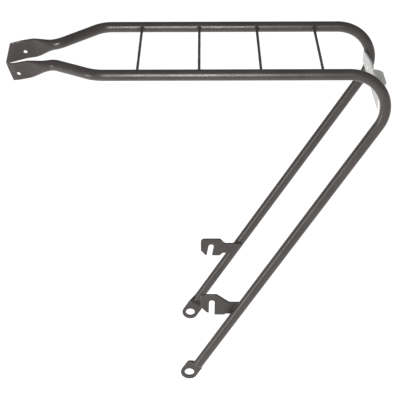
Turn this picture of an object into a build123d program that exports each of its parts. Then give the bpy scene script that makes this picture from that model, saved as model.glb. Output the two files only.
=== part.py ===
"""Rear carrier of a bicycle: two bent side tubes, four cross rods, two strap hooks, a light plate.

Millimetres and degrees. The origin is the middle of the rear axle line, +X points to the rear of
the bicycle, +Y to its right-hand side and +Z up. Every piece is painted steel, welded in place.
Right-hand shapes are modelled, and mirrored for the left-hand side.
"""
from build123d import *
import os
from math import atan, cos, degrees, radians, sin, tan

# ---------------------------------------------------------------- side tubes
tube_diameter = 12.0
tube_wall = 1.5
platform_height = 414.0         # axle line up to the centre line of the platform
platform_width = 125.0          # between the centre lines of the two tubes, on the platform
leg_lean = 30.4                 # angle of the leg from the vertical
leg_spread = 5.0                # how much further out each leg is at the height of the axle
rear_bend_radius = 40.5         # to the centre line

# ---------------------------------------------------------------- front of the side tubes
neck_rear_x = -96.0             # where the platform line meets the slanted neck
neck_front_x = -143.0           # where the slanted neck meets the line of the lug
neck_drop = 4.4                 # height lost along the neck
neck_rear_radius = 30.0
neck_front_radius = 18.0
lug_straight = 1.0              # round tube between that bend and the pressed stretch
lug_spacing = 54.0              # between the middles of the two front lugs
lug_straight = 1.0              # round tube between that bend and the pressed stretch
lug_dip = {"left": 11.0, "right": 9.5}              # slope of the lugs, down towards the front
lug_thickness = 2.6
lug_width = {"left": 20.5, "right": 22.5}
lug_press_length = 22.0         # over which the round tube is pressed flat
lug_hole = 4.3
lug_hole_x = -182.2             # along the lug's middle line
lug_hole_drop = 3.0             # from that line down to the hole's centre
lug_bend_x = -183.5             # where the tip of the lug is bent inwards
lug_bend_angle = 15.0
lug_bend_reach = 1.5            # length of the bend to each side of that place
lug_tip_x = {"left": -190.8, "right": -201.0}       # sheared end, on the centre line
lug_cut_angle = {"left": 7.0, "right": -26.0}       # of that end, + leans its top forward
lug_corner = {"left": 1.5, "right": 3.0}            # radius of its upper corner

# ---------------------------------------------------------------- eyelets on the rear axle
eyelet_spacing = 120.0          # between the middles of the two eyelets
eyelet_width = 21.5
eyelet_thickness = 2.6
eyelet_hole = 12.0
eyelet_flat_length = 13.5       # flat stretch above the axle, along the leg
eyelet_press_length = 9.5       # over which the round tube is pressed flat and set inwards

# ---------------------------------------------------------------- cross rods
rod_diameter = 3.2
rod_count = 4
rod_front_margin = 44.5         # from the corner of the neck to the first rod
rod_rear_margin = 27.2          # from the last rod to the start of the rear bend
rod_weld_leg = 1.8

# ---------------------------------------------------------------- strap hooks
# Lengths run back and heights run up from the middle of the slot's closed end.
hook_height = 113.0             # of that closed end, above the axle
hook_reach = 38.3               # from there back to the leg's centre line
hook_thickness = 3.0
hook_slot_width = 6.8
hook_top = 8.0
hook_nose = -13.5               # foremost edge
hook_nose_chamfer = -9.5        # height at which that edge slopes back
hook_toe = -7.5                 # blunt foot of the front prong
hook_toe_height = -17.0
hook_behind_leg = 0.7           # how far the plate reaches past the leg's centre line
hook_corner = 5.0
hook_slot_lean = {"left": 1.0, "right": 10.0}           # the slot's mouth points forward
hook_shoulder = {"left": 6.0, "right": 12.0}            # end of the level top edge
hook_root = {"left": 21.0, "right": 17.5}               # where the lower top edge starts
hook_root_height = {"left": -3.5, "right": 1.0}
hook_foot = {"left": 15.0, "right": 11.0}               # rear end of the rear prong's foot
hook_foot_height = {"left": -21.5, "right": -17.5}
hook_notch = {"left": 1.5, "right": 4.0}                # step up from there to the leg
hook_weld_diameter = 3.4
hook_weld_front = 4.5           # from the leg's centre line forward to the front bead
hook_weld_low_gap = 5.0         # from the plate's lower end on the leg to the bead
hook_weld_high_gap = 1.5        # from its upper end on the leg to the bead

# ---------------------------------------------------------------- light plate
# Heights are from the level of the rear bends' centres.
plate_thickness = 2.2
plate_clearance = 0.1           # ahead of the foremost side of the tubes, where they bend
plate_bottom = -3.0
plate_end_top = 10.5            # of the top edge beside the right-hand tube
plate_top = 20.5                # of its level stretch
plate_level_right = 12.0        # right-hand end of the level stretch, from the middle
plate_level_left_gap = 10.5     # from its left-hand end to the left tube's centre line
plate_hole = 5.5
plate_hole_spacing = 50.0
plate_hole_height = 5.5
plate_ear_depth = 11.0          # rearward ledge along the left half of the top edge
plate_ear_width = 40.0
plate_ear_gap = 14.5            # from the ledge to the left tube's centre line
plate_ear_corner = 9.0
plate_weld_diameter = 3.4
plate_weld_low_gap = 6.8        # from the plate's bottom edge to the bead

# ---------------------------------------------------------------- worked out from the above
SIDES = ("left", "right")
PRESS_STEPS = 5                 # sections through a pressed stretch
ROUND_ENOUGH = 1.01             # width over thickness of a section that is still round
MARGIN = 0.3                    # by which cutting shapes run past what they cut

tube_radius = tube_diameter / 2
rod_radius = rod_diameter / 2
platform_y = platform_width / 2
spread_angle = degrees(atan(leg_spread / platform_height))
lean_sin = sin(radians(leg_lean))
lean_cos = cos(radians(leg_lean))
spread_sin = sin(radians(spread_angle))
spread_cos = cos(radians(spread_angle))
leg_direction = Vector(-lean_sin, lean_cos * spread_sin, -lean_cos * spread_cos)
eyelet_direction = Vector(-lean_sin, 0, -lean_cos)
lug_slope = {side: radians(lug_dip[side]) for side in SIDES}
lug_direction = {side: Vector(-cos(lug_slope[side]), 0, -sin(lug_slope[side])) for side in SIDES}
lug_up = {side: Vector(lug_direction[side].Z, 0, -lug_direction[side].X) for side in SIDES}
leg_foot = Vector(0, platform_y + leg_spread, 0)
eyelet_centre = Vector(0, eyelet_spacing / 2, 0)
neck_front = Vector(neck_front_x, lug_spacing / 2, platform_height - neck_drop)
neck_rear = Vector(neck_rear_x, platform_y, platform_height)
rear_corner = Vector(platform_height / spread_cos * tan(radians(leg_lean)), platform_y, platform_height)
neck_turn = {side: (neck_front - neck_rear).get_angle(lug_direction[side]) for side in SIDES}
neck_cut = {side: neck_front_radius * tan(radians(neck_turn[side] / 2)) for side in SIDES}
lug_start = {side: neck_front + lug_direction[side] * (neck_cut[side] + lug_straight) for side in SIDES}
leg_end = leg_foot - leg_direction * (eyelet_flat_length + eyelet_press_length)
bend_start_x = rear_corner.X - rear_bend_radius * tan(radians((90 + leg_lean) / 2))
bend_centre_height = platform_height - rear_bend_radius * spread_cos
plate_front_x = bend_start_x + rear_bend_radius - tube_radius - plate_clearance - plate_thickness
hook_leg_point = leg_foot - leg_direction * (hook_height / spread_cos / lean_cos)
hook_plane = Plane(
    origin=hook_leg_point - Vector(hook_reach, 0, 0), x_dir=(1, 0, 0), z_dir=(0, -spread_cos, -spread_sin)
)
rod_first_x = neck_rear_x + rod_front_margin
rod_pitch = (bend_start_x - rod_rear_margin - rod_first_x) / (rod_count - 1)
rod_places = [rod_first_x + rod_pitch * number for number in range(rod_count)]


def to_side(shape, side):
    """The right-hand shape as it is, or mirrored to the left-hand side."""
    return shape if side == "right" else mirror(shape, about=Plane.XZ)


def bar(start, end, diameter):
    """Round bar between two points."""
    plane = Plane(origin=start, z_dir=end - start)
    return extrude(plane * Circle(diameter / 2), amount=(end - start).length)


# ---------------------------------------------------------------- pieces
def side_path(side):
    """Centre line of the round part of a side tube."""
    return FilletPolyline(
        lug_start[side],
        neck_front,
        neck_rear,
        rear_corner,
        leg_end,
        radius=[neck_front_radius, neck_rear_radius, rear_bend_radius],
    )


def tube_along(path, diameter):
    """Round bar along the side tube's centre line."""
    return sweep(Plane(origin=path @ 0, z_dir=path % 0) * Circle(diameter / 2), path=path)


def pressed_section(origin, direction, width_direction, width, thickness):
    """Stadium outline of a pressed tube, square to its direction."""
    plane = Plane(origin=origin, x_dir=width_direction, z_dir=direction)
    return plane * SlotOverall(max(width, thickness * ROUND_ENOUGH), thickness)


def pressed_stretch(start, end, directions, width_direction, flat_width, flat_thickness):
    """Stretch of tube that goes from round at its start to flat at its end."""
    along = directions[1] * (end - start).dot(directions[1])
    sideways = (end - start) - along
    sections = []
    for step in range(PRESS_STEPS):
        share = step / (PRESS_STEPS - 1)
        eased = share * share * (3 - 2 * share)
        sections.append(pressed_section(
            start + along * share + sideways * eased,
            directions[0] * (1 - share) + directions[1] * share,
            width_direction,
            tube_diameter + (flat_width - tube_diameter) * eased,
            tube_diameter + (flat_thickness - tube_diameter) * eased,
        ))
    return loft(sections)


def lug_point(side, x):
    """Point on the middle line of a lug, before its bend."""
    return neck_front + lug_direction[side] * ((neck_front_x - x) / cos(lug_slope[side]))


def front_lug(side):
    """Pressed stretch, flat stretch with a bolt hole, and a tip bent inwards with a sheared end."""
    direction, up, width = lug_direction[side], lug_up[side], lug_width[side]
    bend_angle = radians(lug_bend_angle)
    tip_direction = direction * cos(bend_angle) - Vector(0, sin(bend_angle), 0)
    flat_start = lug_start[side] + direction * lug_press_length
    stretch = pressed_stretch(lug_start[side], flat_start, (direction, direction), up, width, lug_thickness)
    bend = lug_point(side, lug_bend_x)
    bend_start = bend - direction * lug_bend_reach
    bend_end = bend + tip_direction * lug_bend_reach
    section = pressed_section(flat_start, direction, up, width, lug_thickness)
    flat = extrude(section, amount=(bend_start - flat_start).length, dir=direction)
    start_section = pressed_section(bend_start, direction, up, width, lug_thickness)
    end_section = pressed_section(bend_end, tip_direction, up, width, lug_thickness)
    knee = loft([start_section, end_section])
    tip = bend + tip_direction * ((lug_bend_x - lug_tip_x[side]) / -tip_direction.X)
    blade = extrude(end_section, amount=(tip - bend_end).length + width, dir=tip_direction)
    half = width / 2 + MARGIN
    lean = half * tan(radians(lug_cut_angle[side]))
    rear_end = (tip - bend_end).length + MARGIN
    side_normal = up.cross(tip_direction)
    tip_plane = Plane(origin=tip, x_dir=tip_direction * -1, z_dir=side_normal)
    kept = Polygon((lean, -half), (rear_end, -half), (rear_end, half), (-lean, half), align=None)
    corner = kept.vertices().sort_by(Axis.X)[:2].sort_by(Axis.Y)[-1]
    kept = fillet(corner, lug_corner[side])
    blade &= extrude(tip_plane * kept, amount=lug_thickness, both=True)
    hole = lug_point(side, lug_hole_x) - up * lug_hole_drop
    reach = Vector(0, lug_thickness, 0)
    return stretch + flat + knee + blade - bar(hole - reach, hole + reach, lug_hole)


def rear_eyelet():
    """Pressed stretch set inwards, flat stretch with a round end, and the axle hole."""
    flat_start = eyelet_centre - eyelet_direction * eyelet_flat_length
    width_direction = Vector(lean_cos, 0, -lean_sin)
    stretch = pressed_stretch(
        leg_end,
        flat_start,
        (leg_direction, eyelet_direction),
        width_direction,
        eyelet_width,
        eyelet_thickness,
    )
    section = pressed_section(flat_start, eyelet_direction, width_direction, eyelet_width, eyelet_thickness)
    flat = extrude(section, amount=eyelet_flat_length + eyelet_width, dir=eyelet_direction)
    plane = Plane(origin=eyelet_centre, x_dir=eyelet_direction * -1, z_dir=(0, 1, 0))
    above = Pos(eyelet_width, 0) * Rectangle(eyelet_width * 2, eyelet_width + MARGIN)
    kept = Circle(eyelet_width / 2) + above
    flat &= extrude(plane * kept, amount=eyelet_thickness, both=True)
    reach = Vector(0, eyelet_thickness, 0)
    return stretch + flat - bar(eyelet_centre - reach, eyelet_centre + reach, eyelet_hole)


def tube_blank(side):
    """One tube, bent and pressed flat at both ends, without its bore."""
    solid = tube_along(side_path(side), tube_diameter) + front_lug(side) + rear_eyelet()
    return to_side(solid, side)


def tube_bore(side):
    """The hollow inside the round part of a side tube."""
    return to_side(tube_along(side_path(side), tube_diameter - 2 * tube_wall), side)


def cross_rod(x, blanks):
    """Rod across the platform, coped to the tubes at its ends."""
    end = Vector(x, platform_y, platform_height)
    return bar(end, Vector(x, -platform_y, platform_height), rod_diameter) - blanks["left"] - blanks["right"]


def rod_welds(side):
    """Fillet bead round one end of each rod."""
    beads = []
    for x in rod_places:
        bead = Pos(x, platform_y - tube_radius, platform_height) * Rot(X=90) * Cone(
            rod_radius + rod_weld_leg, rod_radius, 2 * rod_weld_leg
        )
        tube = bar(
            Vector(x - tube_diameter, platform_y, platform_height),
            Vector(x + tube_diameter, platform_y, platform_height),
            tube_diameter,
        )
        rod = bar(Vector(x, 0, platform_height), Vector(x, platform_y, platform_height), rod_diameter)
        beads.append(to_side(bead - tube - rod, side))
    return beads


def hook_blank(side):
    """Outline of a hook's plate before its slot is cut; its rear edge runs along the leg."""
    def rear_edge(height):
        return hook_reach + height * tan(radians(leg_lean)) + hook_behind_leg / lean_cos

    root_height = hook_root_height[side]
    notch_height = hook_foot_height[side] + hook_notch[side]
    return Polygon(
        (hook_nose, hook_top),
        (hook_shoulder[side], hook_top),
        (hook_root[side], root_height),
        (rear_edge(root_height), root_height),
        (rear_edge(notch_height), notch_height),
        (hook_foot[side] + hook_notch[side], notch_height),
        (hook_foot[side], hook_foot_height[side]),
        (0, hook_foot_height[side]),
        (hook_toe, hook_toe_height),
        (hook_nose, hook_nose_chamfer),
        align=None,
    )


def strap_hook(side):
    """Stamped plate on the inner side of the leg, with a slot for a strap's loop."""
    depth = 2 * abs(hook_foot_height[side])
    slot = Pos(0, -hook_slot_width / 2) * Rot(Z=-hook_slot_lean[side]) * (
        Circle(hook_slot_width / 2) + Pos(0, -depth / 2) * Rectangle(hook_slot_width, depth)
    )
    plate = hook_blank(side) - slot
    nose = plate.vertices().group_by(Axis.Y)[-1].sort_by(Axis.X)[0]
    plate = fillet(nose, hook_corner)
    solid = extrude(hook_plane.offset(tube_radius) * plate, amount=hook_thickness, dir=hook_plane.z_dir)
    return to_side(solid, side)


def hook_welds(side):
    """Bead along the front and the rear of the leg where the hook's plate lies against it."""
    across = Vector(lean_cos, 0, -lean_sin)
    low_height = hook_foot_height[side] + hook_notch[side] + hook_weld_low_gap
    high_height = hook_root_height[side] - hook_weld_high_gap
    low = hook_leg_point - leg_direction * (low_height / lean_cos)
    high = hook_leg_point - leg_direction * (high_height / lean_cos)
    leg = bar(leg_end, leg_end - leg_direction * platform_height, tube_diameter)
    plate = to_side(strap_hook(side), side)
    beads = []
    for reach in (-hook_weld_front, hook_behind_leg):
        shift = hook_plane.z_dir * (tube_radius - hook_weld_diameter / 4) + across * reach
        beads.append(to_side(bar(low + shift, high + shift, hook_weld_diameter) - leg - plate, side))
    return beads


def light_plate(blanks):
    """Upright plate between the rear bends, with two holes and a ledge on its left half."""
    outline = Polygon(
        (-platform_y, plate_bottom),
        (platform_y, plate_bottom),
        (platform_y, plate_end_top),
        (plate_level_right, plate_top),
        (plate_level_left_gap - platform_y, plate_top),
        (-platform_y, plate_end_top),
        align=None,
    )
    plane = Plane(origin=(plate_front_x, 0, bend_centre_height), x_dir=(0, 1, 0), z_dir=(1, 0, 0))
    plate = extrude(plane * outline, amount=plate_thickness)
    ear = Pos(plate_front_x, plate_ear_gap - platform_y) * Rectangle(
        plate_ear_depth, plate_ear_width, align=Align.MIN
    )
    ear = fillet(ear.vertices().group_by(Axis.X)[-1], plate_ear_corner)
    ear_height = bend_centre_height + plate_top - plate_thickness
    plate += extrude(Pos(0, 0, ear_height) * ear, amount=plate_thickness)
    for y in (-plate_hole_spacing / 2, plate_hole_spacing / 2):
        middle = Vector(plate_front_x, y, bend_centre_height + plate_hole_height)
        reach = Vector(2 * plate_thickness, 0, 0)
        plate -= bar(middle - reach, middle + reach, plate_hole)
    return plate - blanks["left"] - blanks["right"]


def light_plate_welds(blanks, plate):
    """Bead up the rear of the plate at each end, in the groove beside the bent tube."""
    beads = []
    x = plate_front_x + plate_thickness + plate_weld_diameter / 4
    inner = platform_y - tube_radius + plate_weld_diameter / 4
    for y in (-inner, inner):
        low = Vector(x, y, bend_centre_height + plate_bottom + plate_weld_low_gap)
        high = Vector(x, y, bend_centre_height + plate_end_top)
        beads.append(bar(low, high, plate_weld_diameter) - blanks["left"] - blanks["right"] - plate)
    return beads


def solids_of(shapes):
    """The separate solids of several shapes, as one group."""
    return Compound([solid for shape in shapes for solid in shape.solids()])


def build():
    blanks = {side: tube_blank(side) for side in SIDES}
    plate = light_plate(blanks)
    nodes = {f"{side}_side_tube": blanks[side] - tube_bore(side) for side in SIDES}
    for number, x in enumerate(rod_places, start=1):
        nodes[f"cross_rod_{number}"] = cross_rod(x, blanks)
    for side in SIDES:
        nodes[f"{side}_strap_hook"] = strap_hook(side)
        nodes[f"{side}_rod_welds"] = solids_of(rod_welds(side))
        nodes[f"{side}_hook_welds"] = solids_of(hook_welds(side))
    nodes["light_plate"] = plate
    nodes["light_plate_welds"] = solids_of(light_plate_welds(blanks, plate))
    return nodes


os.makedirs("parts", exist_ok=True)
for name, shape in build().items():
    export_step(shape, f"parts/{name}.step")
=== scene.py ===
"""Looks of a bicycle's rear carrier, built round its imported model.

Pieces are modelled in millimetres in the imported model's own frame, and scaled to metres when they
become objects. The origin is the middle of the rear axle line, +X points to the rear of the
bicycle, +Y to its right-hand side and +Z up. Right-hand shapes are modelled, and mirrored for the
left-hand side. Outlines run clockwise, so that their left-hand normals point out of the material.
"""
from math import atan, ceil, cos, pi, radians, sin, sqrt, tan

import bmesh
import bpy
from mathutils import Matrix, Vector


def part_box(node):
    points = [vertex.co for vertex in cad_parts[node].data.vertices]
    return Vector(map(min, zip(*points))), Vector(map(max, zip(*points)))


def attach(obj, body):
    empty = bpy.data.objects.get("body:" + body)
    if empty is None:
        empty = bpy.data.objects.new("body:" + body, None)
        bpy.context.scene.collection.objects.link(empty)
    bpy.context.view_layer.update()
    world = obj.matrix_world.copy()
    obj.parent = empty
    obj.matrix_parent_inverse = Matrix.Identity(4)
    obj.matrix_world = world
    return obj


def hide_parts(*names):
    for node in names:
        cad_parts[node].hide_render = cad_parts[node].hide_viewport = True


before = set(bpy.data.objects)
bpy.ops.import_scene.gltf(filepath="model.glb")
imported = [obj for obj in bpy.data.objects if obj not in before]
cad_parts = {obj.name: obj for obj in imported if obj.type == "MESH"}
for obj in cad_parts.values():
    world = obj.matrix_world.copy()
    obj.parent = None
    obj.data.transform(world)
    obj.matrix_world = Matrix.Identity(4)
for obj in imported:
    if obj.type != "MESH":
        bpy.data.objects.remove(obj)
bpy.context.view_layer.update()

MM = 0.001
BODY = "root"
SIDES = ("left", "right")

# ---------------------------------------------------------------- side tubes, millimetres
tube_radius = 6.0
platform_y = 62.5               # from the middle to a tube's centre line
leg_lean = radians(30.4)        # of the legs, from the vertical
leg_spread = 5.0                # how much further out each leg is at the height of the axle
rear_bend_radius = 40.5
neck_rear_x = -96.0             # where the platform line meets the slanted neck
neck_front_x = -143.0           # where the slanted neck meets the line of the lug
neck_drop = 4.4
neck_rear_radius = 30.0
neck_front_radius = 18.0

# ---------------------------------------------------------------- front lugs
lug_y = 27.0                    # from the middle to a lug's middle plane
lug_dip = {"left": radians(11.0), "right": radians(9.5)}
lug_straight = 1.0
lug_press_length = 22.0
lug_half_width = {"left": 10.25, "right": 11.25}
lug_hole_radius = 2.15
lug_hole_x = -182.2
lug_hole_drop = 3.0
lug_bend_x = -183.5             # where the tip is bent inwards
lug_bend_angle = radians(15.0)
lug_bend_reach = 1.5
lug_tip_x = {"left": -190.8, "right": -201.0}
lug_cut_angle = {"left": radians(7.0), "right": radians(-26.0)}
lug_top_corner = {"left": 1.5, "right": 3.0}
lug_low_corner = 1.2
lug_bend_steps = 6

# ---------------------------------------------------------------- rear eyelets
eyelet_y = 60.0
eyelet_half_width = 10.75
eyelet_hole_radius = 6.0
eyelet_flat_length = 13.5
eyelet_press_length = 9.5

# ---------------------------------------------------------------- pressed ends
flat_half_thickness = 1.3
press_stations = (0.0, 0.06, 0.15, 0.27, 0.4, 0.52, 0.64, 0.76, 0.87, 0.95, 1.0)
cut_edge_radius = 0.35          # left on a sheared edge
seam_depth = 0.3                # of the groove where the two walls meet in a sheared edge
seam_half_width = 0.25
hole_edge_radius = 0.3

# ---------------------------------------------------------------- rods
rod_weld_leg = 1.8
rod_wobble = 0.06               # unevenness of the paint along a rod

# ---------------------------------------------------------------- strap hooks
# Lengths run back and heights run up from the middle of the slot's closed end.
hook_height = 113.0             # of that closed end, above the axle
hook_reach = 38.3               # from there back to the leg's centre line
hook_thickness = 3.0
hook_slot_width = 6.8
hook_top = 8.0
hook_nose = -13.5
hook_nose_chamfer = -9.5
hook_toe = -7.5
hook_toe_height = -17.0
hook_behind_leg = 0.7
hook_slot_lean = {"left": radians(1.0), "right": radians(10.0)}
hook_shoulder = {"left": 6.0, "right": 12.0}
hook_root = {"left": 21.0, "right": 17.5}
hook_root_height = {"left": -3.5, "right": 1.0}
hook_foot = {"left": 15.0, "right": 11.0}
hook_foot_height = {"left": -21.5, "right": -17.5}
hook_notch = {"left": 1.5, "right": 4.0}
hook_weld_radius = 1.7
hook_weld_front = 4.5
hook_weld_low_gap = 5.0
hook_weld_high_gap = 1.5

# ---------------------------------------------------------------- light plate
# Heights are from the level of the rear bends' centres.
plate_thickness = 2.2
plate_clearance = 0.1
plate_bottom = -3.0
plate_end_top = 10.5
plate_top = 20.5
plate_level_right = 12.0
plate_level_left_gap = 10.5
plate_hole_radius = 2.75
plate_hole_spacing = 50.0
plate_hole_height = 5.5
plate_ear_depth = 11.0
plate_ear_width = 40.0
plate_ear_gap = 14.5
plate_ear_corner = 9.0
plate_fold_radius = 2.8         # outer radius of the fold at the foot of the ledge
plate_relief = 1.2              # width of the cut beside the fold
plate_weld_radius = 1.7
plate_weld_low_gap = 6.8

# ---------------------------------------------------------------- stamped edges
stamp_roll = 0.7                # radius of the edge on the side that the punch entered
stamp_break = 0.25              # radius of the edge on the other side

# ---------------------------------------------------------------- fineness of the meshes
ARC = 8                         # steps in a quarter of a tube's section
FLAT = 8                        # steps across a flat
HOLE_STEPS = 56
TURN_STEP = radians(5.0)
STRAIGHT_STEP = 9.0
LONG = 1000.0                   # longer than any straight run, where one step is enough
TINY = 1e-3

# ---------------------------------------------------------------- worked out from the above
Y_AXIS = Vector((0, 1, 0))
rod_nodes = [name for name in sorted(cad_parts) if name.startswith("cross_rod_")]
rod_middles = {name: (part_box(name)[0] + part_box(name)[1]) / 2 / MM for name in rod_nodes}
rod_radius = (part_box(rod_nodes[0])[1].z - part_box(rod_nodes[0])[0].z) / 2 / MM
platform_height = rod_middles[rod_nodes[0]].z
spread_angle = atan(leg_spread / platform_height)
leg_direction = Vector((
    -sin(leg_lean),
    cos(leg_lean) * sin(spread_angle),
    -cos(leg_lean) * cos(spread_angle),
))
eyelet_direction = Vector((-sin(leg_lean), 0, -cos(leg_lean)))
lug_direction = {side: Vector((-cos(lug_dip[side]), 0, -sin(lug_dip[side]))) for side in SIDES}
leg_foot = Vector((0, platform_y + leg_spread, 0))
eyelet_centre = Vector((0, eyelet_y, 0))
neck_front = Vector((neck_front_x, lug_y, platform_height - neck_drop))
neck_rear = Vector((neck_rear_x, platform_y, platform_height))
rear_corner = Vector((platform_height / cos(spread_angle) * tan(leg_lean), platform_y, platform_height))
neck_turn = {side: (neck_front - neck_rear).angle(lug_direction[side]) for side in SIDES}
neck_cut = {side: neck_front_radius * tan(neck_turn[side] / 2) for side in SIDES}
lug_start = {side: neck_front + lug_direction[side] * (neck_cut[side] + lug_straight) for side in SIDES}
leg_end = leg_foot - leg_direction * (eyelet_flat_length + eyelet_press_length)
bend_start_x = rear_corner.x - rear_bend_radius * tan((pi / 2 + leg_lean) / 2)
bend_centre_height = platform_height - rear_bend_radius * cos(spread_angle)
plate_front_x = bend_start_x + rear_bend_radius - tube_radius - plate_clearance - plate_thickness
hook_leg_point = leg_foot - leg_direction * (hook_height / cos(spread_angle) / cos(leg_lean))
hook_inward = Vector((0, -cos(spread_angle), -sin(spread_angle)))
hook_up = Vector((0, -sin(spread_angle), cos(spread_angle)))


def smooth(share):
    """Eases from 0 to 1 as share goes from 0 to 1."""
    share = min(max(share, 0.0), 1.0)
    return share * share * (3 - 2 * share)


def mix(first, second, share):
    """The value that lies a share of the way from the first to the second."""
    return first + (second - first) * share


# ---------------------------------------------------------------- lines and outlines
def straight(start, end, direction, step):
    """Stations along a straight run, each a point and a direction."""
    length = (end - start).length
    if length < TINY:
        return [(start, direction)]
    count = ceil(length / step)
    return [(start.lerp(end, index / count), direction) for index in range(count + 1)]


def rounded_line(corners, radii, straight_step=LONG):
    """Stations along straight runs joined by arcs."""
    stations = []
    start = corners[0]
    for before, corner, after, radius in zip(corners, corners[1:], corners[2:], radii):
        into = (corner - before).normalized()
        out = (after - corner).normalized()
        turn = into.angle(out)
        cut = radius * tan(turn / 2)
        arc_start = corner - into * cut
        stations += straight(start, arc_start, into, straight_step)
        axis = into.cross(out).normalized()
        centre = arc_start + axis.cross(into) * radius
        steps = max(3, ceil(turn / TURN_STEP))
        for step in range(1, steps):
            turned = Matrix.Rotation(turn * step / steps, 3, axis)
            stations.append((centre + turned @ (arc_start - centre), turned @ into))
        start = corner + out * cut
    last = (corners[-1] - corners[-2]).normalized()
    return stations + straight(start, corners[-1], last, straight_step)


def flat_outline(corners, radii, closed=True):
    """A clockwise outline in a plane: x, y and the outward normal of each of its points."""
    corners = [Vector((x, y, 0)) for x, y in corners]
    if closed:
        middle = (corners[0] + corners[-1]) / 2
        corners = [middle] + corners + [middle]
    stations = rounded_line(corners, radii)
    if closed:
        stations = stations[:-1]
    return [(point.x, point.y, -along.y, along.x) for point, along in stations]


def hole_outline(x, y, radius):
    """A round hole's outline, with normals that point into the hole."""
    angles = [2 * pi * step / HOLE_STEPS for step in range(HOLE_STEPS)]
    return [(x + radius * cos(angle), y + radius * sin(angle), -cos(angle), -sin(angle)) for angle in angles]


# ---------------------------------------------------------------- mesh building
def new_mesh():
    """An empty mesh whose points carry a wear value, from 0 to 1."""
    bm = bmesh.new()
    bm.verts.layers.float.new("wear")
    return bm


def set_wear(bm, points, value):
    """Marks points where the paint gets rubbed or chipped."""
    layer = bm.verts.layers.float["wear"]
    for point in points:
        point[layer] = max(point[layer], value)


def join(bm, first, second, closed=True):
    """Quads between two rows of points."""
    count = len(first) if closed else len(first) - 1
    for index in range(count):
        after = (index + 1) % len(first)
        bm.faces.new((first[index], first[after], second[after], second[index]))


def fill(bm, loops):
    """Triangles over a flat area bounded by closed loops of points, the later ones round holes."""
    edges = []
    for loop in loops:
        for first, second in zip(loop, loop[1:] + loop[:1]):
            edges.append(bm.edges.get((first, second)) or bm.edges.new((first, second)))
    bmesh.ops.triangle_fill(bm, use_beauty=True, use_dissolve=False, edges=edges)


def make_piece(name, bm, material, nodes, side="right"):
    """Turns a right-hand mesh in millimetres into an object that stands for CAD nodes."""
    bmesh.ops.remove_doubles(bm, verts=bm.verts, dist=TINY)
    mirrored = -1 if side == "left" else 1
    bmesh.ops.transform(bm, matrix=Matrix.Diagonal((MM, MM * mirrored, MM, 1)), verts=bm.verts)
    bmesh.ops.recalc_face_normals(bm, faces=bm.faces)
    for face in bm.faces:
        face.smooth = True
    mesh = bpy.data.meshes.new(name)
    bm.to_mesh(mesh)
    bm.free()
    piece = bpy.data.objects.new(name, mesh)
    bpy.context.scene.collection.objects.link(piece)
    mesh.materials.append(material)
    normals = piece.modifiers.new("even_flats", "WEIGHTED_NORMAL")
    normals.weight = 80
    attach(piece, BODY)
    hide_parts(*nodes)
    return piece


# ---------------------------------------------------------------- tubes with pressed ends
def section_point(index):
    """Of one point of a section: its angle if round, its angle if flat, and its place across."""
    count = 4 * ARC + 2 * FLAT
    round_angle = 2 * pi * (index - ARC) / count
    if index <= 2 * ARC:
        return round_angle, pi / 2 * (index / ARC - 1), 1.0
    if index < 2 * ARC + FLAT:
        return round_angle, pi / 2, 1 - 2 * (index - 2 * ARC) / FLAT
    if index <= 4 * ARC + FLAT:
        return round_angle, pi / 2 * (1 + (index - 2 * ARC - FLAT) / ARC), -1.0
    return round_angle, pi * 1.5, 2 * (index - 4 * ARC - FLAT) / FLAT - 1


def section_ring(bm, origin, direction, half_width, half_thickness):
    """A ring of points round a tube: a circle, or a stadium that is flat across the Y axis."""
    normal = (Y_AXIS - direction * direction.y).normalized()
    lateral = direction.cross(normal)
    reach = half_width - half_thickness
    flatness = smooth(reach / (half_width * 0.3))
    ring = []
    for index in range(4 * ARC + 2 * FLAT):
        round_angle, flat_angle, across = section_point(index)
        angle = mix(round_angle, flat_angle, flatness)
        x = reach * across + half_thickness * cos(angle)
        y = half_thickness * sin(angle)
        ring.append(bm.verts.new(origin + lateral * x + normal * y))
    return ring


def pressed_rings(bm, start, end, directions, half_width):
    """Rings from the round start of a pressed stretch to its flat end."""
    along = directions[1] * (end - start).dot(directions[1])
    sideways = (end - start) - along
    rings = []
    for share in press_stations:
        pressed = mix(share, smooth(share), 0.35)
        rings.append(section_ring(
            bm,
            start + along * share + sideways * smooth(share),
            directions[0].lerp(directions[1], share).normalized(),
            mix(tube_radius, half_width, mix(share, smooth(share), 0.7)),
            mix(tube_radius, flat_half_thickness, pressed),
        ))
    return rings


def round_edge(index):
    """Profile of a pressed tube's rounded side: how far it lies inside the outline, and its height."""
    angle = pi / 2 * (index / ARC - 1)
    return flat_half_thickness * (cos(angle) - 1), flat_half_thickness * sin(angle)


def sheared_edge(index):
    """Profile of a sheared end, with a groove where the tube's two walls meet."""
    step = abs(index - ARC)
    sign = 1 if index >= ARC else -1
    flat_top = flat_half_thickness - cut_edge_radius
    if step >= ARC - 3:
        angle = pi / 2 * (step - ARC + 3) / 3
        return cut_edge_radius * (cos(angle) - 1), sign * (flat_top + cut_edge_radius * sin(angle))
    if step == ARC - 4:
        return 0.0, sign * (flat_top + seam_half_width) / 2
    groove = 1 - step / (ARC - 5)
    return -seam_depth * smooth(groove), sign * seam_half_width * (1 - groove)


def rim(bm, place, points, profile):
    """Loops of points round an outline, one for each inset and height of the profile."""
    loops = []
    for inset, height in profile:
        loops.append([bm.verts.new(place(x - nx * inset, y - ny * inset, height)) for x, y, nx, ny in points])
    for first, second in zip(loops, loops[1:]):
        join(bm, first, second)
    return loops


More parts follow.
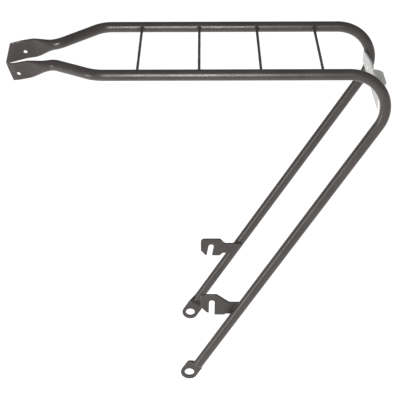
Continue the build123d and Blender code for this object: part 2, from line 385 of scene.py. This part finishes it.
def edge_profile(top, bottom, top_radius, bottom_radius, steps=4):
    """Insets and heights from a plate's top, round both of its edges, to its bottom."""
    profile = []
    for step in range(steps + 1):
        angle = pi / 2 * step / steps
        profile.append((top_radius * (1 - sin(angle)), top - top_radius * (1 - cos(angle))))
    for step in range(steps + 1):
        angle = pi / 2 * step / steps
        profile.append((bottom_radius * (1 - cos(angle)), bottom + bottom_radius * (1 - sin(angle))))
    return profile


def paddle(bm, ring, place, outline, hole_at, hole_radius):
    """The flat end of a tube, from its first ring of points to its sheared outline, with a hole."""
    columns = [ring[:2 * ARC + 1]]
    for x, y, nx, ny in outline[1:-1]:
        sheared = smooth(nx / 0.35)
        column = []
        for index in range(2 * ARC + 1):
            rounded = round_edge(index)
            cut = sheared_edge(index)
            offset = mix(rounded[0], cut[0], sheared)
            height = mix(rounded[1], cut[1], sheared)
            column.append(bm.verts.new(place(x + nx * offset, y + ny * offset, height)))
        set_wear(bm, column[3:-3], 0.6 * sheared)
        columns.append(column)
    columns.append(ring[2 * ARC + FLAT:4 * ARC + FLAT + 1][::-1])
    for first, second in zip(columns, columns[1:]):
        join(bm, first, second, closed=False)
    profile = edge_profile(flat_half_thickness, -flat_half_thickness, hole_edge_radius, hole_edge_radius)
    loops = rim(bm, place, hole_outline(*hole_at, hole_radius), profile)
    for loop in loops[1:-1]:
        set_wear(bm, loop, 0.75)
    upper = [column[-1] for column in columns] + ring[2 * ARC + 1:2 * ARC + FLAT][::-1]
    lower = [column[0] for column in columns] + ring[4 * ARC + FLAT + 1:]
    fill(bm, [upper, loops[0]])
    fill(bm, [lower, loops[-1]])


def flat_place(origin, along, lateral):
    """Maps a place on a flat end to space: x towards its tip, y across it, z through it."""
    return lambda x, y, z: origin + along * x + lateral * y + Y_AXIS * z


def bend_lug(bm, side):
    """Bends the tip of a flat lug inwards over a soft knee."""
    direction = lug_direction[side]
    bend = neck_front + direction * ((neck_front_x - lug_bend_x) / cos(lug_dip[side]))
    start = bend - direction * lug_bend_reach
    radius = lug_bend_reach / tan(lug_bend_angle / 2)
    for step in range(lug_bend_steps + 1):
        bmesh.ops.bisect_plane(
            bm,
            geom=bm.verts[:] + bm.edges[:] + bm.faces[:],
            plane_co=start + direction * 2 * lug_bend_reach * step / lug_bend_steps,
            plane_no=direction,
        )
    for point in bm.verts:
        beyond = (point.co - start).dot(direction)
        if beyond > 0:
            angle = min(beyond / radius, lug_bend_angle)
            height = point.co.y - lug_y
            foot = point.co - direction * beyond - Y_AXIS * (height + radius)
            outward = Y_AXIS * cos(angle) + direction * sin(angle)
            onward = direction * cos(angle) - Y_AXIS * sin(angle)
            point.co = foot + outward * (radius + height) + onward * (beyond - angle * radius)


def side_tube(side):
    """A side tube: front lug, neck, platform, rear bend, leg and eyelet, in one skin."""
    bm = new_mesh()
    direction = lug_direction[side]
    half_width = lug_half_width[side]
    lug_flat = lug_start[side] + direction * lug_press_length
    eyelet_flat = eyelet_centre - eyelet_direction * eyelet_flat_length
    rearward = direction * -1
    rings = pressed_rings(bm, lug_start[side], lug_flat, (rearward, rearward), half_width)[::-1]
    line = rounded_line(
        [lug_start[side], neck_front, neck_rear, rear_corner, leg_end],
        [neck_front_radius, neck_rear_radius, rear_bend_radius],
        STRAIGHT_STEP,
    )
    for point, direction_there in line[1:-1]:
        rings.append(section_ring(bm, point, direction_there, tube_radius, tube_radius))
    rings += pressed_rings(bm, leg_end, eyelet_flat, (leg_direction, eyelet_direction), eyelet_half_width)
    for first, second in zip(rings, rings[1:]):
        join(bm, first, second)

    slope = cos(lug_dip[side])
    lug_bend = (lug_flat.x - lug_bend_x) / slope
    lug_tip = lug_bend + (lug_bend_x - lug_tip_x[side]) / slope / cos(lug_bend_angle)
    lean = half_width * tan(lug_cut_angle[side])
    lug_corners = [(0, half_width), (lug_tip + lean, half_width),
                   (lug_tip - lean, -half_width), (0, -half_width)]
    paddle(
        bm,
        rings[0],
        flat_place(lug_flat, direction, rearward.cross(Y_AXIS)),
        flat_outline(lug_corners, [lug_top_corner[side], lug_low_corner], closed=False),
        ((lug_flat.x - lug_hole_x) / slope, -lug_hole_drop),
        lug_hole_radius,
    )
    eyelet_tip = eyelet_flat_length + eyelet_half_width
    eyelet_corners = [(0, eyelet_half_width), (eyelet_tip, eyelet_half_width),
                      (eyelet_tip, -eyelet_half_width), (0, -eyelet_half_width)]
    paddle(
        bm,
        rings[-1],
        flat_place(eyelet_flat, eyelet_direction, eyelet_direction.cross(Y_AXIS)),
        flat_outline(eyelet_corners, [eyelet_half_width] * 2, closed=False),
        (eyelet_flat_length, 0),
        eyelet_hole_radius,
    )
    bend_lug(bm, side)
    return bm


# ---------------------------------------------------------------- rods and weld beads
def cross_rod(middle, phase):
    """A painted rod, very slightly uneven, whose ends run into the tubes' walls."""
    bm = new_mesh()
    rings = []
    half_length = platform_y - tube_radius + rod_weld_leg / 2
    steps = 60
    for step in range(steps + 1):
        y = half_length * (2 * step / steps - 1)
        swell = rod_wobble * sin(y * 0.21 + phase) * sin(y * 0.083 + 2 * phase)
        radius = rod_radius - rod_wobble + swell
        angles = [2 * pi * index / (4 * ARC) for index in range(4 * ARC)]
        rings.append([
            bm.verts.new((middle.x + radius * cos(angle), y, middle.z + radius * sin(angle))) for angle in angles
        ])
    for first, second in zip(rings, rings[1:]):
        join(bm, first, second)
    bm.faces.new(rings[0])
    bm.faces.new(rings[-1])
    return bm


def tube_inner_side(height):
    """Y of the platform tube's inner side, at a height from its centre line."""
    return platform_y - sqrt(tube_radius ** 2 - height ** 2)


def rod_weld(bm, middle, phase):
    """Rippled fillet bead round a rod's end, on the tube's curved side."""
    ripples = 9
    rings = []
    steps = 90
    for step in range(steps):
        turn = 2 * pi * step / steps
        ripple = abs(sin(turn * ripples / 2 + phase))
        leg = rod_weld_leg * (0.84 + 0.16 * ripple)
        ring = []
        for index in range(7):
            share = index / 6
            bulge = 1 - 0.2 * sin(pi * share)
            angle = pi / 2 * share
            out = rod_radius + leg * (1 - bulge * cos(angle))
            deep = leg * (1 - bulge * sin(angle))
            side = tube_inner_side(out * sin(turn))
            ring.append((out, side - deep))
        inside = rod_radius - rod_weld_leg / 4
        ring.append((inside, tube_inner_side(inside * sin(turn)) + rod_weld_leg / 4))
        rings.append([
            bm.verts.new((middle.x + out * cos(turn), y, middle.z + out * sin(turn))) for out, y in ring
        ])
    for first, second in zip(rings, rings[1:] + rings[:1]):
        join(bm, first, second)


def straight_weld(bm, start, end, radius, phase):
    """Rippled bead along a straight seam, with rounded ends."""
    direction = (end - start).normalized()
    length = (end - start).length
    across = direction.orthogonal().normalized()
    other = direction.cross(across)
    pitch = radius * 0.75
    steps = ceil(length / (pitch / 6))
    rings = []
    for step in range(steps + 1):
        place = length * step / steps
        end_gap = min(place, length - place) / radius
        rounding = sqrt(max(1 - max(1 - end_gap, 0) ** 2, 0.02))
        ripple = abs(sin(pi * place / pitch + phase))
        size = radius * rounding * (0.88 + 0.12 * ripple)
        ring = []
        for index in range(24):
            angle = 2 * pi * index / 24
            outward = across * cos(angle) + other * sin(angle)
            ring.append(bm.verts.new(start + direction * place + outward * size))
        rings.append(ring)
    for first, second in zip(rings, rings[1:]):
        join(bm, first, second)
    bm.faces.new(rings[0])
    bm.faces.new(rings[-1])


def rod_welds():
    """The beads at the right-hand ends of all the rods."""
    bm = new_mesh()
    for number, name in enumerate(rod_nodes):
        rod_weld(bm, rod_middles[name], number * 1.3)
    return bm


# ---------------------------------------------------------------- stamped plates
def stamped_plate(bm, place, outline, holes, thickness):
    """A plate with one rolled and one crisp edge, and holes through it."""
    profile = edge_profile(thickness, 0.0, stamp_roll, stamp_break)
    rims = [rim(bm, place, points, profile) for points in [outline] + holes]
    for loops in rims:
        for loop in loops[1:-1]:
            set_wear(bm, loop, 0.45)
    for loops in rims[1:]:
        for loop in loops[1:-1]:
            set_wear(bm, loop, 1.0)
    fill(bm, [loops[0] for loops in rims])
    fill(bm, [loops[-1] for loops in rims])


def meet(first, along, second, towards):
    """Where two lines in a plane meet."""
    cross = along.x * towards.y - along.y * towards.x
    gap = second - first
    return first + along * ((gap.x * towards.y - gap.y * towards.x) / cross)


def hook_outline(side):
    """Outline of a hook with its slot, and the radius of each corner."""
    def rear_edge(height):
        return hook_reach + height * tan(leg_lean) + hook_behind_leg / cos(leg_lean)

    half = hook_slot_width / 2
    down = Vector((-sin(hook_slot_lean[side]), -cos(hook_slot_lean[side])))
    back = Vector((-down.y, down.x))
    centre = Vector((0, -half))
    foot_height = hook_foot_height[side]
    notch_height = foot_height + hook_notch[side]
    root_height = hook_root_height[side]
    toe = Vector((hook_toe, hook_toe_height))
    foot_front = Vector((0, foot_height))
    rear_mouth = meet(centre + back * half, down, foot_front, Vector((1, 0)))
    front_mouth = meet(centre - back * half, down, foot_front, toe - foot_front)
    rear_crown = centre + back * half - down * half
    front_crown = centre - back * half - down * half
    corners = [
        ((hook_nose, hook_top), 5.0),
        ((hook_shoulder[side], hook_top), 4.0),
        ((hook_root[side], root_height), 5.0),
        ((rear_edge(root_height), root_height), 1.2),
        ((rear_edge(notch_height), notch_height), 1.2),
        ((hook_foot[side] + hook_notch[side], notch_height), 0.8),
        ((hook_foot[side], foot_height), 0.8),
        (tuple(rear_mouth), 0.9),
        (tuple(rear_crown), half - TINY),
        (tuple(front_crown), half - TINY),
        (tuple(front_mouth), 0.9),
        (tuple(toe), 1.2),
        ((hook_nose, hook_nose_chamfer), 2.0),
    ]
    return flat_outline([corner for corner, radius in corners], [radius for corner, radius in corners])


def strap_hook(side):
    """Stamped hook on the inner side of the leg."""
    bm = new_mesh()
    origin = hook_leg_point - Vector((hook_reach, 0, 0)) + hook_inward * tube_radius

    def place(x, y, z):
        return origin + Vector((x, 0, 0)) + hook_up * y + hook_inward * (hook_thickness - z)

    stamped_plate(bm, place, hook_outline(side), [], hook_thickness)
    return bm


def hook_welds(side):
    """Beads along the front and the rear of the leg, on the hook's plate."""
    bm = new_mesh()
    across = Vector((cos(leg_lean), 0, -sin(leg_lean)))
    low_height = hook_foot_height[side] + hook_notch[side] + hook_weld_low_gap
    high_height = hook_root_height[side] - hook_weld_high_gap
    low = hook_leg_point - leg_direction * (low_height / cos(leg_lean))
    high = hook_leg_point - leg_direction * (high_height / cos(leg_lean))
    for phase, reach in ((0.4, -hook_weld_front), (1.9, hook_behind_leg)):
        shift = hook_inward * (tube_radius - hook_weld_radius / 2) + across * reach
        straight_weld(bm, low + shift, high + shift, hook_weld_radius, phase)
    return bm


def light_plate():
    """Upright plate between the rear bends, with two holes and a ledge folded back on its left half."""
    bm = new_mesh()
    fold_line = plate_top - plate_fold_radius
    middle_radius = plate_fold_radius - plate_thickness / 2
    fold_length = middle_radius * pi / 2
    ear_left = plate_ear_gap - platform_y
    ear_right = ear_left + plate_ear_width
    ear_end = fold_line + fold_length + plate_ear_depth - plate_fold_radius
    corners = [
        ((-platform_y, plate_bottom), 0.8),
        ((-platform_y, plate_end_top), 0.8),
        ((plate_level_left_gap - platform_y, plate_top), 0.8),
        ((ear_left - plate_relief, plate_top), 0.5),
        ((ear_left - plate_relief, fold_line - plate_relief), 0.55),
        ((ear_left, fold_line - plate_relief), 0.55),
        ((ear_left, ear_end), plate_ear_corner),
        ((ear_right, ear_end), plate_ear_corner),
        ((ear_right, fold_line - plate_relief), 0.55),
        ((ear_right + plate_relief, fold_line - plate_relief), 0.55),
        ((ear_right + plate_relief, plate_top), 0.5),
        ((plate_level_right, plate_top), 6.0),
        ((platform_y, plate_end_top), 0.8),
        ((platform_y, plate_bottom), 0.8),
    ]
    outline = flat_outline([corner for corner, radius in corners], [radius for corner, radius in corners])
    half = plate_hole_spacing / 2
    holes = [hole_outline(y, plate_hole_height, plate_hole_radius) for y in (-half, half)]

    def place(y, z, height):
        return Vector((plate_thickness - height, y, z))

    stamped_plate(bm, place, outline, holes, plate_thickness)
    fold_steps = 8
    for step in range(fold_steps + 1):
        bmesh.ops.bisect_plane(
            bm,
            geom=bm.verts[:] + bm.edges[:] + bm.faces[:],
            plane_co=(0, 0, fold_line + fold_length * step / fold_steps),
            plane_no=(0, 0, 1),
        )
    for point in bm.verts:
        depth, y, z = point.co
        beyond = z - fold_line
        if ear_left - TINY < y < ear_right + TINY and beyond > 0:
            angle = min(beyond / middle_radius, pi / 2)
            radius = plate_fold_radius - depth
            depth = plate_fold_radius - radius * cos(angle) + max(beyond - fold_length, 0)
            z = fold_line + radius * sin(angle)
        point.co = (plate_front_x + depth, y, bend_centre_height + z)
    return bm


def light_plate_welds():
    """A bead up the rear of the plate at each end, beside the bent tube."""
    bm = new_mesh()
    x = plate_front_x + plate_thickness + plate_weld_radius / 2
    inner = platform_y - tube_radius + plate_weld_radius / 2
    for y in (-inner, inner):
        low = Vector((x, y, bend_centre_height + plate_bottom + plate_weld_low_gap))
        high = Vector((x, y, bend_centre_height + plate_end_top))
        straight_weld(bm, low, high, plate_weld_radius, y)
    return bm


# ---------------------------------------------------------------- materials
def add_node(tree, kind, values=None, **settings):
    """A shader node with settings and constant inputs."""
    node = tree.nodes.new(kind)
    for name, value in settings.items():
        setattr(node, name, value)
    for name, value in (values or {}).items():
        node.inputs[name].default_value = value
    return node


def ramp(tree, source, stops):
    """A colour ramp fed by a source: stops are a place and a colour each."""
    node = add_node(tree, "ShaderNodeValToRGB")
    elements = node.color_ramp.elements
    for index, (place, colour) in enumerate(stops):
        element = elements[index] if index < 2 else elements.new(place)
        element.position = place
        element.color = (*colour, 1)
    tree.links.new(source, node.inputs["Fac"])
    return node.outputs["Color"]


def grey(value):
    """A grey colour."""
    return (value, value, value)


def enamel(name, dark, light, roughness, peel, chip_start):
    """Baked enamel on steel: cloudy colour, orange peel, dust nibs, and chips where it gets rubbed."""
    material = bpy.data.materials.new(name)
    material.use_nodes = True
    tree = material.node_tree
    tree.nodes.clear()
    link = tree.links.new
    output = add_node(tree, "ShaderNodeOutputMaterial")
    shader = add_node(tree, "ShaderNodeBsdfPrincipled", {
        "IOR": 1.5,
        "Specular IOR Level": 0.33,
    })
    place = add_node(tree, "ShaderNodeTexCoord").outputs["Object"]

    def noise(scale, detail=3.0, roughness=0.55):
        node = add_node(tree, "ShaderNodeTexNoise", {
            "Scale": scale, "Detail": detail, "Roughness": roughness,
        })
        link(place, node.inputs["Vector"])
        return node.outputs["Fac"]

    clouds = ramp(tree, noise(34.0, 5.0), [(0.32, dark), (0.68, light)])
    wear = add_node(tree, "ShaderNodeAttribute", attribute_name="wear").outputs["Fac"]
    chips = add_node(tree, "ShaderNodeMath", {1: 0.55}, operation="MULTIPLY_ADD")
    link(wear, chips.inputs[0])
    link(noise(520.0, 4.0, 0.7), chips.inputs[2])
    bare = ramp(tree, chips.outputs[0], [(chip_start, grey(0.0)), (chip_start + 0.03, grey(1.0))])
    colour = add_node(tree, "ShaderNodeMix", data_type="RGBA")
    link(bare, colour.inputs["Factor"])
    link(clouds, colour.inputs["A"])
    steel = ramp(tree, noise(900.0), [(0.3, (0.16, 0.14, 0.125)), (0.7, (0.36, 0.34, 0.32))])
    link(steel, colour.inputs["B"])
    link(colour.outputs["Result"], shader.inputs["Base Color"])
    link(bare, shader.inputs["Metallic"])
    sheen = ramp(tree, noise(90.0, 4.0), [
        (0.3, grey(roughness - 0.05)), (0.7, grey(roughness + 0.07)),
    ])
    link(sheen, shader.inputs["Roughness"])

    skin = add_node(tree, "ShaderNodeBump", {"Strength": 0.35, "Distance": peel * MM})
    link(noise(430.0, 2.0, 0.4), skin.inputs["Height"])
    nibs = add_node(tree, "ShaderNodeBump", {"Strength": 0.25, "Distance": 0.03 * MM})
    link(noise(2600.0, 2.0, 0.6), nibs.inputs["Height"])
    link(skin.outputs["Normal"], nibs.inputs["Normal"])
    dents = add_node(tree, "ShaderNodeBump", {"Strength": 0.6, "Distance": 0.08 * MM}, invert=True)
    link(bare, dents.inputs["Height"])
    link(nibs.outputs["Normal"], dents.inputs["Normal"])
    link(dents.outputs["Normal"], shader.inputs["Normal"])
    link(shader.outputs["BSDF"], output.inputs["Surface"])
    return material


def zinc(name, dark, light, roughness):
    """Dull bright zinc: mottled grey, faintly uneven, and lighter along its rubbed edges."""
    material = bpy.data.materials.new(name)
    material.use_nodes = True
    tree = material.node_tree
    tree.nodes.clear()
    link = tree.links.new
    output = add_node(tree, "ShaderNodeOutputMaterial")
    shader = add_node(tree, "ShaderNodeBsdfPrincipled", {"Metallic": 0.25})
    place = add_node(tree, "ShaderNodeTexCoord").outputs["Object"]
    mottle = add_node(tree, "ShaderNodeTexVoronoi", {"Scale": 260.0, "Randomness": 1.0})
    grain = add_node(tree, "ShaderNodeTexNoise", {"Scale": 700.0, "Detail": 4.0})
    wear = add_node(tree, "ShaderNodeAttribute", attribute_name="wear").outputs["Fac"]
    link(place, mottle.inputs["Vector"])
    link(place, grain.inputs["Vector"])
    patches = add_node(tree, "ShaderNodeMath", {1: 0.35}, operation="MULTIPLY_ADD")
    link(wear, patches.inputs[0])
    link(grain.outputs["Fac"], patches.inputs[2])
    link(ramp(tree, patches.outputs[0], [(0.35, dark), (0.7, light)]), shader.inputs["Base Color"])
    sheen = ramp(tree, mottle.outputs["Distance"], [
        (0.1, grey(roughness - 0.08)), (0.8, grey(roughness + 0.08)),
    ])
    link(sheen, shader.inputs["Roughness"])
    skin = add_node(tree, "ShaderNodeBump", {"Strength": 0.3, "Distance": 0.05 * MM})
    link(grain.outputs["Fac"], skin.inputs["Height"])
    link(skin.outputs["Normal"], shader.inputs["Normal"])
    link(shader.outputs["BSDF"], output.inputs["Surface"])
    return material


def floor_material():
    """White studio paper with a faint, even fleck."""
    material = bpy.data.materials.new("studio_paper")
    material.use_nodes = True
    tree = material.node_tree
    shader = tree.nodes["Principled BSDF"]
    shader.inputs["Roughness"].default_value = 0.9
    shader.inputs["Emission Color"].default_value = (1, 1, 1, 1)
    shader.inputs["Emission Strength"].default_value = 0.75
    place = add_node(tree, "ShaderNodeTexCoord").outputs["Object"]
    fleck = add_node(tree, "ShaderNodeTexNoise", {"Scale": 60.0, "Detail": 3.0})
    tree.links.new(place, fleck.inputs["Vector"])
    paper = ramp(tree, fleck.outputs["Fac"], [(0.3, grey(0.86)), (0.7, grey(0.9))])
    tree.links.new(paper, shader.inputs["Base Color"])
    return material


# ---------------------------------------------------------------- the carrier
brown_black = (0.034, 0.029, 0.0275)
warm_grey = (0.045, 0.0385, 0.0365)
tube_enamel = enamel("tube_enamel", brown_black, warm_grey, 0.26, 0.04, 1.05)
rod_enamel = enamel("rod_enamel", brown_black, warm_grey, 0.30, 0.03, 1.08)
plate_enamel = enamel("plate_enamel", brown_black, warm_grey, 0.34, 0.05, 1.02)
weld_enamel = enamel("weld_enamel", brown_black, warm_grey, 0.36, 0.12, 1.08)
plate_zinc = zinc("plate_zinc", (0.42, 0.42, 0.41), (0.66, 0.66, 0.64), 0.45)

for side in SIDES:
    make_piece(f"{side}_side_tube_painted", side_tube(side), tube_enamel,
               [f"{side}_side_tube"], side)
    make_piece(f"{side}_strap_hook_painted", strap_hook(side), plate_enamel,
               [f"{side}_strap_hook"], side)
    make_piece(f"{side}_hook_welds_painted", hook_welds(side), weld_enamel,
               [f"{side}_hook_welds"], side)
    make_piece(f"{side}_rod_welds_painted", rod_welds(), weld_enamel,
               [f"{side}_rod_welds"], side)
for number, name in enumerate(rod_nodes):
    rod = cross_rod(rod_middles[name], number * 1.7)
    make_piece(f"{name}_painted", rod, rod_enamel, [name])
make_piece("light_plate_galvanised", light_plate(), plate_zinc, ["light_plate"])
make_piece("light_plate_welds_painted", light_plate_welds(), weld_enamel,
           ["light_plate_welds"])

# ---------------------------------------------------------------- floor, light and camera, metres
floor_drop = 0.55               # from the axle line down to the floor
floor_half = 60.0
camera_aim = Vector((0.01404, 0, 0.21827))
camera_distance = 1.27334
camera_down = radians(32.716)
camera_azimuth = radians(-0.259)
camera_roll = radians(-0.276)
camera_focal = 95.78            # millimetres, on a sensor 36 mm wide


def studio_floor():
    """A wide, level sheet of paper below the carrier."""
    bm = bmesh.new()
    bmesh.ops.create_grid(bm, x_segments=12, y_segments=12, size=floor_half)
    mesh = bpy.data.meshes.new("studio_floor")
    bm.to_mesh(mesh)
    bm.free()
    floor = bpy.data.objects.new("studio_floor", mesh)
    bpy.context.scene.collection.objects.link(floor)
    floor.location.z = -floor_drop
    mesh.materials.append(floor_material())


def soft_light(name, place, aim, size, power, colour=(1, 1, 1)):
    """A rectangular area light that points at a place."""
    light = bpy.data.lights.new(name, "AREA")
    light.shape = "RECTANGLE"
    light.size, light.size_y = size
    light.energy = power
    light.color = colour
    lamp = bpy.data.objects.new(name, light)
    lamp.location = place
    lamp.rotation_euler = (Vector(aim) - Vector(place)).to_track_quat("-Z", "Y").to_euler()
    bpy.context.scene.collection.objects.link(lamp)


def studio_camera():
    """The camera, from its aim, distance, height angle, azimuth and roll."""
    forward = Vector((
        sin(camera_azimuth) * cos(camera_down), cos(camera_azimuth) * cos(camera_down), -sin(camera_down),
    ))
    level = Vector((cos(camera_azimuth), -sin(camera_azimuth), 0))
    upward = level.cross(forward)
    right = level * cos(camera_roll) + upward * sin(camera_roll)
    up = upward * cos(camera_roll) - level * sin(camera_roll)
    camera = bpy.data.cameras.new("studio_camera")
    camera.sensor_width = 36.0
    camera.lens = camera_focal
    camera.clip_start = 0.05
    viewer = bpy.data.objects.new("studio_camera", camera)
    turn = Matrix((right, up, forward * -1)).transposed()
    viewer.matrix_world = Matrix.Translation(camera_aim - forward * camera_distance) @ turn.to_4x4()
    bpy.context.scene.collection.objects.link(viewer)
    bpy.context.scene.camera = viewer


def studio_world(brightness):
    """Even white light from all round."""
    world = bpy.data.worlds.new("studio_world")
    bpy.context.scene.world = world
    world.use_nodes = True
    world.node_tree.nodes["Background"].inputs["Color"].default_value = (1, 1, 1, 1)
    world.node_tree.nodes["Background"].inputs["Strength"].default_value = brightness


bpy.context.scene.view_settings.view_transform = "Standard"
studio_floor()
studio_world(0.3)
soft_light("wide_light", (0.0, -2.2, 1.6), (0, 0, 0.2), (1.6, 1.2), 8)
soft_light("left_light", (-1.3, -0.78, 0.15), (0.1, 0, 0.2), (0.5, 0.8), 9)
soft_light("key_light", (-0.03, -1.14, 0.8), (-0.03, 0, 0.4), (0.28, 0.8), 15)
studio_camera()
